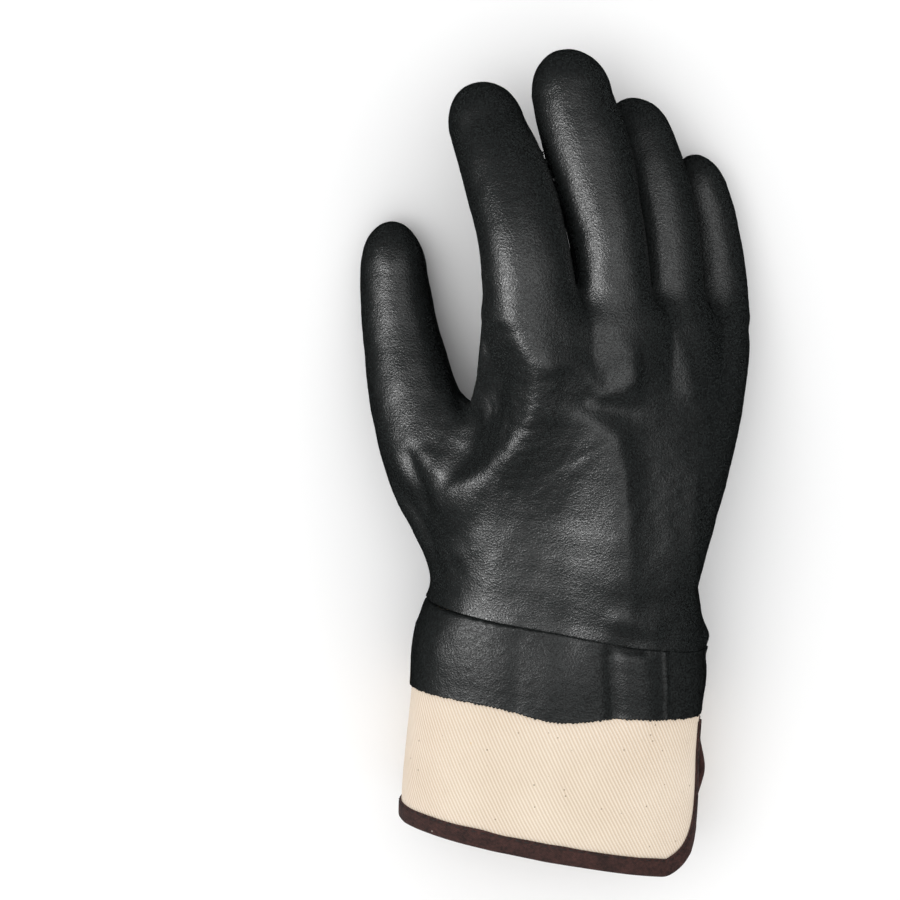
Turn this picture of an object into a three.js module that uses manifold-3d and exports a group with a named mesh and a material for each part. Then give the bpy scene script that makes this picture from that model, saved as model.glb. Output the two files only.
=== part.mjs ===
// Coated work glove with a canvas safety cuff: right-hand glove lying palm down.
// Millimetres, +Z up, +Y towards the fingertips, thumb towards -X.
// The hand and the cuff are lofted through short tables of sections; hollow pieces are
// an outer loft less the same loft drawn in by the wall.
import * as THREE from 'three';
import { mergeVertices } from 'three/addons/utils/BufferGeometryUtils.js';
import Module from 'manifold-3d';

const wasm = await Module();
wasm.setup();

// ---------------------------------------------------------------- driving dimensions
const HAND_WALL = 2.0;          // coating with its jersey lining
const COAT_OVER_CANVAS = 1.0;   // coating where it covers the top of the cuff
const GAP = 0.3;                // between neighbouring pieces
const CANVAS = 1.2;             // cuff canvas
const TAPE = 0.6;               // one leg of the folded edge binding
const TAPE_WIDTH = 6.2;         // how far the binding reaches in from the edge
const TAPE_EDGE = 0.6;          // binding beyond the canvas edge
const SEAM_Y = -49.6, SEAM_SLOPE = -0.181;     // where hand and cuff are sewn: y = SEAM_Y + slope x
const COAT_Y = -75.5, COAT_SLOPE = -0.099;     // lower edge of the coating
const COAT_DIP = 3.3, COAT_DIP_WIDTH = 15;     // it hangs lower along the middle
const HEM_Y = -126.4, HEM_SLOPE = -0.185;      // outer edge of the hem binding
const SLIT_Z = 27.0;            // the cuff's slit, on the little-finger side
const SLIT_HALF = 0.8;          // half the slit's width between the bindings
const SLIT_TOP_Y = -83.0;
const CORNER_R = 28;              // rounded corners beside the slit
const PALM_POWER = 2.4, FINGER_POWER = 2.1;    // how square the sections are
const CENTRE_X = 0.056, CENTRE_Y = 2.186;      // middle of the whole glove in the tables' frame

// ---------------------------------------------------------------- tables
const table = (names, rows) => rows.map((r) => Object.fromEntries(names.split(' ').map((n, i) => [n, r[i]])));
const SECTION = 'x y z half up down roll';
const PALM = table(SECTION, [
  [-2.4, -145, 27, 50, 27, 27.4, 0],
  [-2, -128.8, 27, 50, 27, 27.4, 0],
  [-1.4, -104.7, 27, 50, 27, 27.4, 0],
  [0.5, -77.3, 27, 49.5, 27, 27.4, 0],
  [1.7, -60.4, 27, 48.6, 27, 27.4, 0],
  [3.7, -46.8, 27, 45.7, 27, 27.4, 0],
  [4.9, -33.8, 28.5, 43.1, 26.5, 28.2, 2],
  [6.7, -22.8, 30, 43.4, 26, 27.5, 3],
  [9.2, -9.3, 31.5, 43.9, 25.5, 26, -2],
  [13, 7.6, 34, 44.2, 23.5, 23, -12],
  [16, 24.2, 36, 45.1, 20.5, 19, -22],
  [18, 40.7, 37.5, 46.9, 16.5, 14.5, -30],
  [18.8, 48.9, 38, 44.8, 14.5, 12.5, -30],
]);
const DIGITS = {
  index: { tip: 15.3, rows: table(SECTION, [
    [-2, 25, 45, 12, 9.5, 9.5, -22],
    [-6.4, 44.2, 52.2, 15.6, 12.4, 12.4, -18],
    [-9.2, 62, 55.5, 15, 12.6, 12.6, -20],
    [-10.9, 75.2, 54.2, 14.6, 12.4, 12.4, -20],
    [-13.7, 87.6, 49.5, 14.2, 12.2, 12.2, -20],
    [-17.3, 99.4, 43, 13.6, 12, 12, -20],
    [-21.2, 109.4, 35.7, 12.7, 11.5, 11.5, -20],
    [-22.6, 113.2, 33.2, 12.4, 11.3, 11.3, -20]]) },
  middle: { tip: 16, rows: table(SECTION, [
    [22, 25, 37, 11, 9.5, 9.5, -24],
    [20.4, 42, 44, 13.2, 11.8, 11.8, -20],
    [18.2, 56.6, 44.3, 12.5, 11.8, 11.8, -12],
    [16.7, 72.5, 43.6, 12.3, 11.8, 11.8, -6],
    [14.5, 85.2, 41.3, 12.7, 11.8, 11.8, -6],
    [12.1, 96.2, 38.3, 13.6, 11.9, 11.9, -8],
    [8.9, 108.8, 35.6, 13.9, 11.9, 11.9, -16],
    [5.9, 118.6, 32.9, 13.4, 11.5, 11.5, -20],
    [5, 122.4, 31.7, 13.1, 11.3, 11.3, -20]]) },
  ring: { tip: 13.6, rows: table(SECTION, [
    [34, 9, 25, 10, 9, 9, -24],
    [37.7, 25.5, 29, 12, 11, 11, -22],
    [38.1, 42.2, 30.8, 12.2, 11.5, 11.5, -15],
    [37, 56.7, 28.8, 11.5, 11.1, 11.1, 0],
    [36, 71.2, 27.2, 11.4, 11, 11, 0],
    [34.4, 84.2, 25.2, 11.3, 10.9, 10.9, 0],
    [32, 95.4, 22.9, 11.1, 10.7, 10.7, 0],
    [28.9, 105.2, 19.2, 10.9, 10.4, 10.4, 0],
    [27.2, 109.2, 17.4, 10.8, 10.2, 10.2, 0]]) },
  little: { tip: 14.7, rows: table(SECTION, [
    [40.5, -0.8, 21, 14, 14, 14, -25],
    [47.4, 19, 19, 13, 13, 13, -25],
    [52.1, 38.7, 15.5, 11.8, 11.4, 11.4, -20],
    [53.8, 55, 12.2, 10.8, 10.6, 10.6, -5],
    [52.6, 68.2, 10.2, 10.5, 10.1, 10.1, 0],
    [51.1, 80.7, 9.2, 9.7, 9.8, 9.8, 0],
    [48.9, 88.6, 8.9, 9.2, 9.6, 9.6, 0]]) },
  thumb: { tip: 17, rows: table(SECTION, [
    [-18, -21.3, 28.5, 18, 18, 18, -10],
    [-29.9, -9.7, 28, 19.5, 18.5, 18.5, -10],
    [-39.8, 6.4, 24.5, 17.5, 16.5, 16.5, -5],
    [-46.1, 22.5, 20, 15, 14, 14, 0],
    [-49.8, 38.6, 15.2, 13.3, 12.6, 12.6, 0],
    [-52, 52, 12.2, 12.2, 11.7, 11.7, 0],
    [-53, 60, 10.9, 11.5, 11.1, 11.1, 0],
    [-53.2, 64, 10.3, 11.1, 10.7, 10.7, 0]]) },
};
// Main folds of the back of the hand: a ridge (+) or hollow (-) along a line from a to b.
const FOLDS = table('ax ay bx by width height', [
  [-31.9, 26.9, -36.4, 8.4, 6, 1.0],     // web of the thumb
  [-22.0, 40.0, -26.0, 14.0, 8, -4.0],   // hollow beside the web
  [-10.0, 44.0, -9.0, 18.0, 7, 2.0],    // index bone line
  [-15.0, 12.0, -33.9, -4.0, 7, 2.0],    // and its bend towards the thumb
  [12.0, 18.0, 20.0, 2.0, 10, 2.6],     // ridge down the back
  [20.5, -12.0, 21.0, -42.0, 10, 2.6],
  [0.0, 10.0, 3.0, -46.0, 13, -1.6],    // valley beside it
  [-46.0, -14.0, -37.0, -28.0, 13, -3.6],  // round shoulder above the wrist
  [13.1, 36.4, 26.5, 28.1, 7, 1.0],      // knuckle roll
  [16.6, -51.8, 28.9, -55.4, 5, -2.0],   // pucker at the cuff seam
]);

// ---------------------------------------------------------------- lofting
const V3 = (x, y, z) => new THREE.Vector3(x, y, z);

// Catmull-Rom stations through a section table, `per` to each row, with their frames
function stations(rows, per) {
  const keys = SECTION.split(' '), n = rows.length, out = [];
  const row = (i) => {
    if (i >= 0 && i < n) return keys.map((k) => rows[i][k]);
    const [e, f] = i < 0 ? [0, 1] : [n - 1, n - 2];
    return keys.map((k) => 2 * rows[e][k] - rows[f][k]);
  };
  const at = (i, t) => {
    const [p0, p1, p2, p3] = [row(i - 1), row(i), row(i + 1), row(i + 2)];
    return p0.map((_, k) => 0.5 * (2 * p1[k] + (p2[k] - p0[k]) * t
      + (2 * p0[k] - 5 * p1[k] + 4 * p2[k] - p3[k]) * t * t + (3 * p1[k] - p0[k] - 3 * p2[k] + p3[k]) * t ** 3));
  };
  for (let i = 0; i < n - 1; i++) for (let s = 0; s < per; s++) out.push(at(i, s / per));
  out.push(row(n - 1));
  return out.map((r, i) => {
    const a = out[Math.max(i - 1, 0)], b = out[Math.min(i + 1, out.length - 1)];
    const T = V3(b[0] - a[0], b[1] - a[1], b[2] - a[2]).normalize();
    const U0 = T.clone().cross(V3(0, 0, 1)).normalize(), V0 = U0.clone().cross(T);
    const roll = THREE.MathUtils.degToRad(r[6]);
    const U = U0.clone().multiplyScalar(Math.cos(roll)).addScaledVector(V0, Math.sin(roll));
    const V = V0.clone().multiplyScalar(Math.cos(roll)).addScaledVector(U0, -Math.sin(roll));
    return { c: V3(r[0], r[1], r[2]), T, U, V, half: r[3], up: r[4], down: r[5] };
  });
}

const foldAt = (x, y) => FOLDS.reduce((sum, f) => {
  const dx = f.bx - f.ax, dy = f.by - f.ay;
  const t = THREE.MathUtils.clamp(((x - f.ax) * dx + (y - f.ay) * dy) / (dx * dx + dy * dy), 0, 1);
  const d = Math.hypot(x - f.ax - t * dx, y - f.ay - t * dy);
  return sum + f.height * Math.exp(-((d / f.width) ** 2));
}, 0);

// A closed loft drawn in by `inset`; a `tip` ends it in a dome, otherwise it ends flat.
// What would reach below `inset` is flattened, as cloth is where it lies on a surface.
function loft(rows, { sides, per, power, inset = 0, tip = 0, folds = false }) {
  const st = stations(rows, per), rings = [], end = st[st.length - 1];
  for (const s of st) rings.push({ ...s, k: 1, shift: 0 });
  if (tip) for (const deg of [28, 52, 72]) {
    const a = THREE.MathUtils.degToRad(deg);
    rings.push({ ...end, k: Math.cos(a), shift: (tip - inset) * Math.sin(a) });
  }
  const pos = [], idx = [];
  for (const r of rings) for (let j = 0; j < sides; j++) {
    const th = (2 * Math.PI * j) / sides, c = Math.cos(th), s = Math.sin(th);
    const e = (v) => Math.sign(v) * Math.abs(v) ** (2 / power);
    const p = r.c.clone().addScaledVector(r.T, r.shift)
      .addScaledVector(r.U, r.k * (r.half - inset) * e(c))
      .addScaledVector(r.V, r.k * ((s > 0 ? r.up : r.down) - inset) * e(s));
    if (folds && s > 0.05) p.z += foldAt(p.x, p.y) * THREE.MathUtils.smoothstep(s, 0.05, 0.5);
    p.z = Math.max(p.z, inset);
    pos.push(p.x, p.y, p.z);
  }
  const first = pos.length / 3;
  const start = st[0].c, last = tip ? end.c.clone().addScaledVector(end.T, tip - inset) : end.c;
  pos.push(start.x, start.y, Math.max(start.z, inset), last.x, last.y, Math.max(last.z, inset));
  for (let i = 0; i < rings.length - 1; i++) for (let j = 0; j < sides; j++) {
    const a = i * sides + j, b = i * sides + ((j + 1) % sides), c = a + sides, d = b + sides;
    idx.push(a, c, b, b, c, d);
  }
  for (let j = 0; j < sides; j++) {
    const k = (j + 1) % sides, z = (rings.length - 1) * sides;
    idx.push(first, j, k, first + 1, z + k, z + j);
  }
  const g = new THREE.BufferGeometry();
  g.setAttribute('position', new THREE.Float32BufferAttribute(pos, 3));
  g.setIndex(idx);
  return g;
}

// ---------------------------------------------------------------- joining and cutting
function solid(geometry) {
  const g = geometry.clone();
  g.deleteAttribute('normal');
  g.deleteAttribute('uv');
  const m = mergeVertices(g, 1e-5);
  const mesh = new wasm.Mesh({ numProp: 3,
    vertProperties: new Float32Array(m.attributes.position.array),
    triVerts: new Uint32Array(m.index.array) });
  return new wasm.Manifold(mesh);
}
function geometryOf(manifold) {
  const m = manifold.getMesh(), g = new THREE.BufferGeometry();
  g.setAttribute('position', new THREE.Float32BufferAttribute(Array.from(m.vertProperties), 3));
  g.setIndex(Array.from(m.triVerts));
  g.translate(-CENTRE_X, -CENTRE_Y, 0);
  return g;
}

const hemY = (x) => HEM_Y + HEM_SLOPE * x;
const seamY = (x) => SEAM_Y + SEAM_SLOPE * x;
const coatY = (x) => COAT_Y + COAT_SLOPE * x - COAT_DIP * Math.exp(-((x / COAT_DIP_WIDTH) ** 2));

// Everything on the finger side (above) or the cuff side (below) of a line y = f(x)
function sideOf(f, above, step = 5) {
  const s = new THREE.Shape(), far = above ? 200 : -200, L = 100;
  s.moveTo(-L, far);
  for (let x = -L; x <= L; x += step) s.lineTo(x, f(x));
  s.lineTo(L, far);
  s.closePath();
  const g = new THREE.ExtrudeGeometry(s, { depth: 120, bevelEnabled: false, steps: 1 });
  g.translate(0, 0, -20);
  return solid(g);
}

// The slit with its rounded corners, grown by o: a shape in Y and Z pushed through the
// little-finger side of the cuff
function slitCutter(o) {
  const hem = hemY(50), half = SLIT_HALF + o, r = CORNER_R - o, s = new THREE.Shape();
  const reach = SLIT_HALF + CORNER_R;            // arc centre from the slit's middle
  const arcY = hem + CORNER_R, pts = [[SLIT_TOP_Y, -half]];
  for (let i = 0; i <= 8; i++) {
    const a = (Math.PI / 2) * (i / 8);
    pts.push([arcY - r * Math.sin(a), -(reach - r * Math.cos(a))]);
  }
  pts.push([hem - 6, -(reach)]);
  const all = [...pts, ...pts.map(([y, z]) => [y, -z]).reverse()];
  all.forEach(([y, z], i) => (i ? s.lineTo(y, z) : s.moveTo(y, z)));
  s.closePath();
  const g = new THREE.ExtrudeGeometry(s, { depth: 70, bevelEnabled: false, steps: 1 });
  // shape x -> Y, shape y -> Z, extrusion -> X
  g.applyMatrix4(new THREE.Matrix4().set(0, 0, 1, 22, 1, 0, 0, 0, 0, 1, 0, SLIT_Z, 0, 0, 0, 1));
  return solid(g);
}

// ---------------------------------------------------------------- the coated hand
const palmOuter = { sides: 40, per: 1, power: PALM_POWER, tip: 8, folds: true };
const palmInner = { sides: 32, per: 1, power: PALM_POWER, tip: 8, folds: true };
const palm = (inset, o = palmOuter) => solid(loft(PALM, { ...o, inset }));
const digit = (d, inset, sides) => solid(loft(d.rows, { sides, per: 1, power: FINGER_POWER, inset, tip: d.tip }));

let outer = palm(0), inner = palm(HAND_WALL, palmInner);
for (const d of Object.values(DIGITS)) {
  outer = outer.add(digit(d, 0, 16));
  inner = inner.add(digit(d, HAND_WALL, 12));
}
const coatEdge = sideOf(coatY, true);
const pocket = palm(COAT_OVER_CANVAS).intersect(sideOf((x) => seamY(x) + 1, false, 200));
const coatedHand = outer.intersect(coatEdge).subtract(inner).subtract(pocket);

// ---------------------------------------------------------------- cuff and binding
const shell = (from, to) => palm(from).subtract(palm(to));
const canvasOut = COAT_OVER_CANVAS + GAP, canvasIn = canvasOut + CANVAS;
const tapeOut = canvasOut - GAP - TAPE, tapeIn = canvasIn + GAP + TAPE;
const withinEdge = (m, o) => m.intersect(sideOf((x) => hemY(x) + o, true, 200)).subtract(slitCutter(o));

const safetyCuff = withinEdge(shell(canvasOut, canvasIn).intersect(sideOf((x) => seamY(x) + 0.5, false, 200)), TAPE_EDGE + GAP);

const belowCoat = sideOf((x) => SLIT_TOP_Y - 0.6, false, 200);
const tapeBlock = withinEdge(shell(tapeOut, tapeIn).intersect(belowCoat), 0);
const tapeCore = withinEdge(shell(tapeOut + TAPE, tapeIn - TAPE), TAPE_EDGE);
const tapeBeyond = withinEdge(palm(tapeOut - 1), TAPE_WIDTH);
const cuffBinding = tapeBlock.subtract(tapeBeyond).subtract(tapeCore);

// ---------------------------------------------------------------- the group
const glove = new THREE.Group();
for (const [name, body, colour, roughness] of [
  ['coated_hand', coatedHand, 0x23292a, 0.45],
  ['safety_cuff', safetyCuff, 0xefdcc2, 0.95],
  ['cuff_binding', cuffBinding, 0x3f2721, 0.9],
]) {
  const mesh = new THREE.Mesh(geometryOf(body),
    new THREE.MeshStandardMaterial({ color: colour, roughness, metalness: 0 }));
  mesh.name = name;
  glove.add(mesh);
}
export default glove;
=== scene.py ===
import bpy
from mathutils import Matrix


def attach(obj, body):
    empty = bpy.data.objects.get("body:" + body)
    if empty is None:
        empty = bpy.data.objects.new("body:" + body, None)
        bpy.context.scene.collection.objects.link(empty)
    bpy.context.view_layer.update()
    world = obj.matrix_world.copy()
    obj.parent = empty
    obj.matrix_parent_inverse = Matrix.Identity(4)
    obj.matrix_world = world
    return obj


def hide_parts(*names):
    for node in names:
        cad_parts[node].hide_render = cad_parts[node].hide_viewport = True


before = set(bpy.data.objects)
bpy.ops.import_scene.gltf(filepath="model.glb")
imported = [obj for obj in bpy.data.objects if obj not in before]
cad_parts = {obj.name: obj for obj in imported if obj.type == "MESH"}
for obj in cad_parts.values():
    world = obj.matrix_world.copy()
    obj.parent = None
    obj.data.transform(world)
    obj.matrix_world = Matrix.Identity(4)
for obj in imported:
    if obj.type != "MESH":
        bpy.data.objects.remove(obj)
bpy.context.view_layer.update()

import bpy, bmesh, math
import numpy as np
from mathutils import Matrix, Vector

# Coated work glove with a canvas safety cuff. The hand is an implicit surface round the same
# section tables as the CAD part; cuff, coating band and binding are grids laid on the cuff's
# section. Tables are in millimetres in their own frame; CENTRE moves them to the row frame.
CENTRE = np.array([0.056, 2.186, 0.0])
HAND_WALL, COAT_OVER, GAP, CANVAS, TAPE, TAPE_WIDTH = 2.0, 1.0, 0.3, 1.2, 0.6, 6.2
SEAM_Y, SEAM_SLOPE = -49.6, -0.181
COAT_Y, COAT_SLOPE, COAT_DIP, COAT_DIP_WIDTH = -75.5, -0.099, 3.3, 15.0
HEM_Y, HEM_SLOPE = -126.4, -0.185
SLIT_Z, SLIT_HALF, SLIT_TOP_Y, CORNER_R = 27.0, 0.8, -83.0, 28.0
PALM_POWER, FINGER_POWER = 2.4, 2.1
VOXEL = 1.15

# columns: x, y, z, half width, half height up, half height down, roll in degrees
SECTIONS = {
    "palm": [
        (-2.4, -145, 27, 50, 27, 27.4, 0), (-2, -128.8, 27, 50, 27, 27.4, 0), (-1.4, -104.7, 27, 50, 27, 27.4, 0),
        (0.5, -77.3, 27, 49.5, 27, 27.4, 0), (1.7, -60.4, 27, 48.6, 27, 27.4, 0), (3.7, -46.8, 27, 45.7, 27, 27.4, 0),
        (4.9, -33.8, 28.5, 43.1, 26.5, 28.2, 2), (6.7, -22.8, 30, 43.4, 26, 27.5, 3), (9.2, -9.3, 31.5, 43.9, 25.5, 26, -2),
        (13, 7.6, 34, 44.2, 23.5, 23, -12), (16, 24.2, 36, 45.1, 20.5, 19, -22), (18, 40.7, 37.5, 46.9, 16.5, 14.5, -30),
        (18.8, 48.9, 38, 44.8, 14.5, 12.5, -30)],
    "index": [
        (-2, 25, 45, 12, 9.5, 9.5, -22), (-6.4, 44.2, 52.2, 15.6, 12.4, 12.4, -18), (-9.2, 62, 55.5, 15, 12.6, 12.6, -20),
        (-10.9, 75.2, 54.2, 14.6, 12.4, 12.4, -20), (-13.7, 87.6, 49.5, 14.2, 12.2, 12.2, -20), (-17.3, 99.4, 43, 13.6, 12, 12, -20),
        (-21.2, 109.4, 35.7, 12.7, 11.5, 11.5, -20), (-22.6, 113.2, 33.2, 12.4, 11.3, 11.3, -20)],
    "middle": [
        (22, 25, 37, 11, 9.5, 9.5, -24), (20.4, 42, 44, 13.2, 11.8, 11.8, -20), (18.2, 56.6, 44.3, 12.5, 11.8, 11.8, -12),
        (16.7, 72.5, 43.6, 12.3, 11.8, 11.8, -6), (14.5, 85.2, 41.3, 12.7, 11.8, 11.8, -6), (12.1, 96.2, 38.3, 13.6, 11.9, 11.9, -8),
        (8.9, 108.8, 35.6, 13.9, 11.9, 11.9, -16), (5.9, 118.6, 32.9, 13.4, 11.5, 11.5, -20), (5, 122.4, 31.7, 13.1, 11.3, 11.3, -20)],
    "ring": [
        (34, 9, 25, 10, 9, 9, -24), (37.7, 25.5, 29, 12, 11, 11, -22), (38.1, 42.2, 30.8, 12.2, 11.5, 11.5, -15),
        (37, 56.7, 28.8, 11.5, 11.1, 11.1, 0), (36, 71.2, 27.2, 11.4, 11, 11, 0), (34.4, 84.2, 25.2, 11.3, 10.9, 10.9, 0),
        (32, 95.4, 22.9, 11.1, 10.7, 10.7, 0), (28.9, 105.2, 19.2, 10.9, 10.4, 10.4, 0), (27.2, 109.2, 17.4, 10.8, 10.2, 10.2, 0)],
    "little": [
        (40.5, -0.8, 21, 14, 14, 14, -25), (47.4, 19, 19, 13, 13, 13, -25), (52.1, 38.7, 15.5, 11.8, 11.4, 11.4, -20),
        (53.8, 55, 12.2, 10.8, 10.6, 10.6, -5), (52.6, 68.2, 10.2, 10.5, 10.1, 10.1, 0), (51.1, 80.7, 9.2, 9.7, 9.8, 9.8, 0),
        (48.9, 88.6, 8.9, 9.2, 9.6, 9.6, 0)],
    "thumb": [
        (-18, -21.3, 28.5, 18, 18, 18, -10), (-29.9, -9.7, 28, 19.5, 18.5, 18.5, -10), (-39.8, 6.4, 24.5, 17.5, 16.5, 16.5, -5),
        (-46.1, 22.5, 20, 15, 14, 14, 0), (-49.8, 38.6, 15.2, 13.3, 12.6, 12.6, 0), (-52, 52, 12.2, 12.2, 11.7, 11.7, 0),
        (-53, 60, 10.9, 11.5, 11.1, 11.1, 0), (-53.2, 64, 10.3, 11.1, 10.7, 10.7, 0)],
}
TIP = {"palm": 8, "index": 15.3, "middle": 16, "ring": 13.6, "little": 14.7, "thumb": 17}

# Folds seen from above: line of points, width on its left and right (looking along the line), height
BACK_FOLDS = [
    # line                                                                left right height
    ([(-22.3, 89.4), (-19.4, 73.7), (-16.8, 61.1), (-12.6, 48.4), (-8.0, 41.0), (-6.2, 33.0), (-7.5, 24.0),
      (-11.5, 15.5), (-17.5, 8.5), (-25.0, 1.5), (-34.0, -4.0)],
     8, 4.5, (0.4, 0.5, 0.8, 1.4, 2.0, 2.4, 2.4, 2.4, 2.6, 2.6, 2.0)),   # index bone, then a bend to the thumb
    ([(-24.0, 52.0), (-21.5, 42.0), (-22.0, 33.0), (-24.0, 23.2), (-29.7, 11.0)],
     8, 7, (0.0, -3.5, -6.0, -6.0, -3.0)),                               # hollow beside the web
    ([(-34.5, 25.0), (-33.0, 18.0), (-35.5, 9.0), (-38.0, 2.6)],             3, 3, 1.2),   # web ridge
    ([(-41.7, 6.4), (-39.7, -8.5)],                                          3, 4, 0.9),   # root of the thumb
    ([(-48.3, 6.3), (-45.0, -3.1), (-44.4, -9.7)],                           2.5, 3, -1.1),  # notch there
    ([(-46.0, -14.0), (-40.0, -22.0), (-37.0, -28.0)],                       13, 12, (-4.2, -4.2, -2.2)),  # shoulder above the wrist
    ([(-3.3, 39.3), (2.1, 39.9), (8.5, 36.1), (13.3, 29.7), (19.6, 30.9), (23.4, 33.5)], 4, 3, 1.2),   # knuckle roll
    ([(23.3, 41.6), (24.1, 27.8)],                                           3, 7, 1.0),
    ([(9.0, 26.5), (16.0, 23.5), (22.5, 23.4)],                              3, 4, -0.9),  # crease under it
    ([(0.0, 24.0), (10.0, 21.0), (17.5, 14.5), (20.0, 4.0), (21.5, -12.0), (22.0, -32.0), (23.0, -48.0)],
     6, 13, (0.8, 2.2, 3.6, 4.0, 3.6, 3.0, 1.2), 1.6),                        # ridge down the back
    ([(0.0, 12.0), (1.0, -12.0), (3.0, -46.0)],                              10, 18, (-1.0, -2.6, -2.2)),  # valley left of it
    ([(33.7, 54.0), (39.6, 41.7), (43.6, 28.1)],                             3, 4, 0.8),   # ring knuckle
    ([(45.6, 1.3), (45.1, -41.9)],                                           1.5, 3, 0.4),   # line towards the side seam
    ([(20.0, -45.0), (31.0, -48.0)],                                         4.0, 4, 1.2),   # swelling over the pucker
    ([(18.0, -57.4), (19.5, -77.0)],                                         3.2, 3.2, -1.7),    # folds down the band
    ([(28.0, -58.5), (29.6, -78.1)],                                         4.5, 4.5, 1.1),
    ([(35.4, -57.0), (36.6, -78.6)],                                         0.8, 0.8, 0.5),
    ([(-12.5, -52.0), (-13.5, -74.0)],                                       3, 3, -0.35),
    ([(-2.5, -53.0), (-2.5, -74.0)],                                         4, 4, 0.3),
]
# Folds seen from below, on the palm side
PALM_FOLDS = [
    ([(2.0, 47.0), (14.0, 41.0), (30.0, 38.0), (42.0, 33.0)],                3, 3, -1.3),
    ([(-24.0, -24.0), (-12.0, 0.0), (-8.0, 26.0)],                           3, 4, -1.5),
    ([(-40.0, -16.0), (-30.0, -24.0)],                                       2, 2, -1.0),
    ([(-38.0, -22.0), (-22.0, -31.0)],                                       2, 2, -0.9),
    ([(-30.0, -34.0), (-12.0, -38.0)],                                       2, 2, -0.8),
    ([(-10.0, 10.0), (10.0, 0.0), (30.0, 4.0)],                              4, 4, -1.0),
    ([(0.0, -20.0), (22.0, -16.0)],                                          4, 4, 0.7),
]


# ------------------------------------------------------------------ sections and field
def spline(rows, per):
    p = np.array(rows, float)
    e = np.vstack([2 * p[0] - p[1], p, 2 * p[-1] - p[-2]])
    out = []
    for i in range(len(p) - 1):
        a, b, c, d = e[i:i + 4]
        for k in range(per):
            t = k / per
            out.append(0.5 * (2 * b + (c - a) * t + (2 * a - 5 * b + 4 * c - d) * t * t + (3 * b - a - 3 * c + d) * t ** 3))
    out.append(p[-1])
    return np.array(out)


class Limb:
    def __init__(self, name, per=14):
        s = spline(SECTIONS[name], per)
        self.c, self.a, self.up, self.down = s[:, :3], s[:, 3], s[:, 4], s[:, 5]
        self.n = PALM_POWER if name == "palm" else FINGER_POWER
        t = np.gradient(self.c, axis=0)
        ds = np.linalg.norm(t, axis=1)
        self.t = t / ds[:, None]
        u = np.cross(self.t, [0, 0, 1.0])
        u /= np.linalg.norm(u, axis=1)[:, None]
        v = np.cross(u, self.t)
        r = np.radians(s[:, 6])[:, None]
        self.u, self.v = u * np.cos(r) + v * np.sin(r), v * np.cos(r) - u * np.sin(r)
        self.slope = [np.gradient(q) / ds for q in (self.a, self.up, self.down)]
        self.tip = TIP[name]
        reach = np.maximum(self.a, np.maximum(self.up, self.down))[:, None] + 11
        self.lo, self.hi = (self.c - reach).min(0), (self.c + reach).max(0)

    def dist(self, pts):
        out, m = np.empty(len(pts)), len(self.c)
        cn = (self.c ** 2).sum(1)
        for k in range(0, len(pts), 50000):
            p = pts[k:k + 50000]
            i = (cn[None, :] - 2 * p @ self.c.T).argmin(1)
            w = ((p - self.c[i]) * self.t[i]).sum(1)
            ww = np.where(i == 0, np.maximum(w, 0), np.where(i == m - 1, np.minimum(w, 0), w))
            q = p - (self.c[i] + self.t[i] * w[:, None])
            u, v = (q * self.u[i]).sum(1), (q * self.v[i]).sum(1)
            a = self.a[i] + self.slope[0][i] * ww
            b = np.where(v > 0, self.up[i] + self.slope[1][i] * ww, self.down[i] + self.slope[2][i] * ww)
            au, av, aw = np.abs(u) / a, np.abs(v) / b, np.abs(w - ww) / self.tip
            n = self.n
            k2 = np.maximum(au ** n + av ** n, 1e-12) ** (1 / n)
            k3 = np.sqrt(k2 ** 2 + aw ** 2) + 1e-9
            gu, gv, gw = k2 ** (2 - n) * au ** (n - 1) / a, k2 ** (2 - n) * av ** (n - 1) / b, aw / self.tip
            d = (k3 - 1) / (np.sqrt(gu ** 2 + gv ** 2 + gw ** 2) / k3 + 1e-9)
            out[k:k + 50000] = np.where(k3 < 0.35, -0.65 * np.minimum(a, b), d)
        return out


LIMBS = {n: Limb(n) for n in SECTIONS}


def smin(a, b, k):
    h = np.clip(0.5 + 0.5 * (b - a) / k, 0, 1)
    return b * (1 - h) + a * h - k * h * (1 - h)


def field(p):
    """Signed distance of the glove's outside, before folds."""
    d = {}
    for n, l in LIMBS.items():
        d[n] = np.full(len(p), 40.0)
        m = ((p > l.lo) & (p < l.hi)).all(1)
        if m.any():
            d[n][m] = l.dist(p[m])
    f = d["index"]
    for n in ("middle", "ring", "little"):
        f = smin(f, d[n], 1.2)
    return smin(smin(d["palm"], d["thumb"], 15.0), f, 9.0)


def gradient(fn, p, h=0.3):
    return np.stack([fn(p + np.eye(3)[k] * h) - fn(p - np.eye(3)[k] * h) for k in range(3)], 1) / (2 * h)


def to_surface(p, level, step, times=2):
    for _ in range(times):
        f0, g = field(p) - level, gradient(field, p)
        s = -(f0 / ((g ** 2).sum(1) + 1e-6))[:, None] * g
        ln = np.linalg.norm(s, axis=1)
        p = p + s * np.minimum(1, step / np.maximum(ln, 1e-9))[:, None]
    return p


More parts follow.
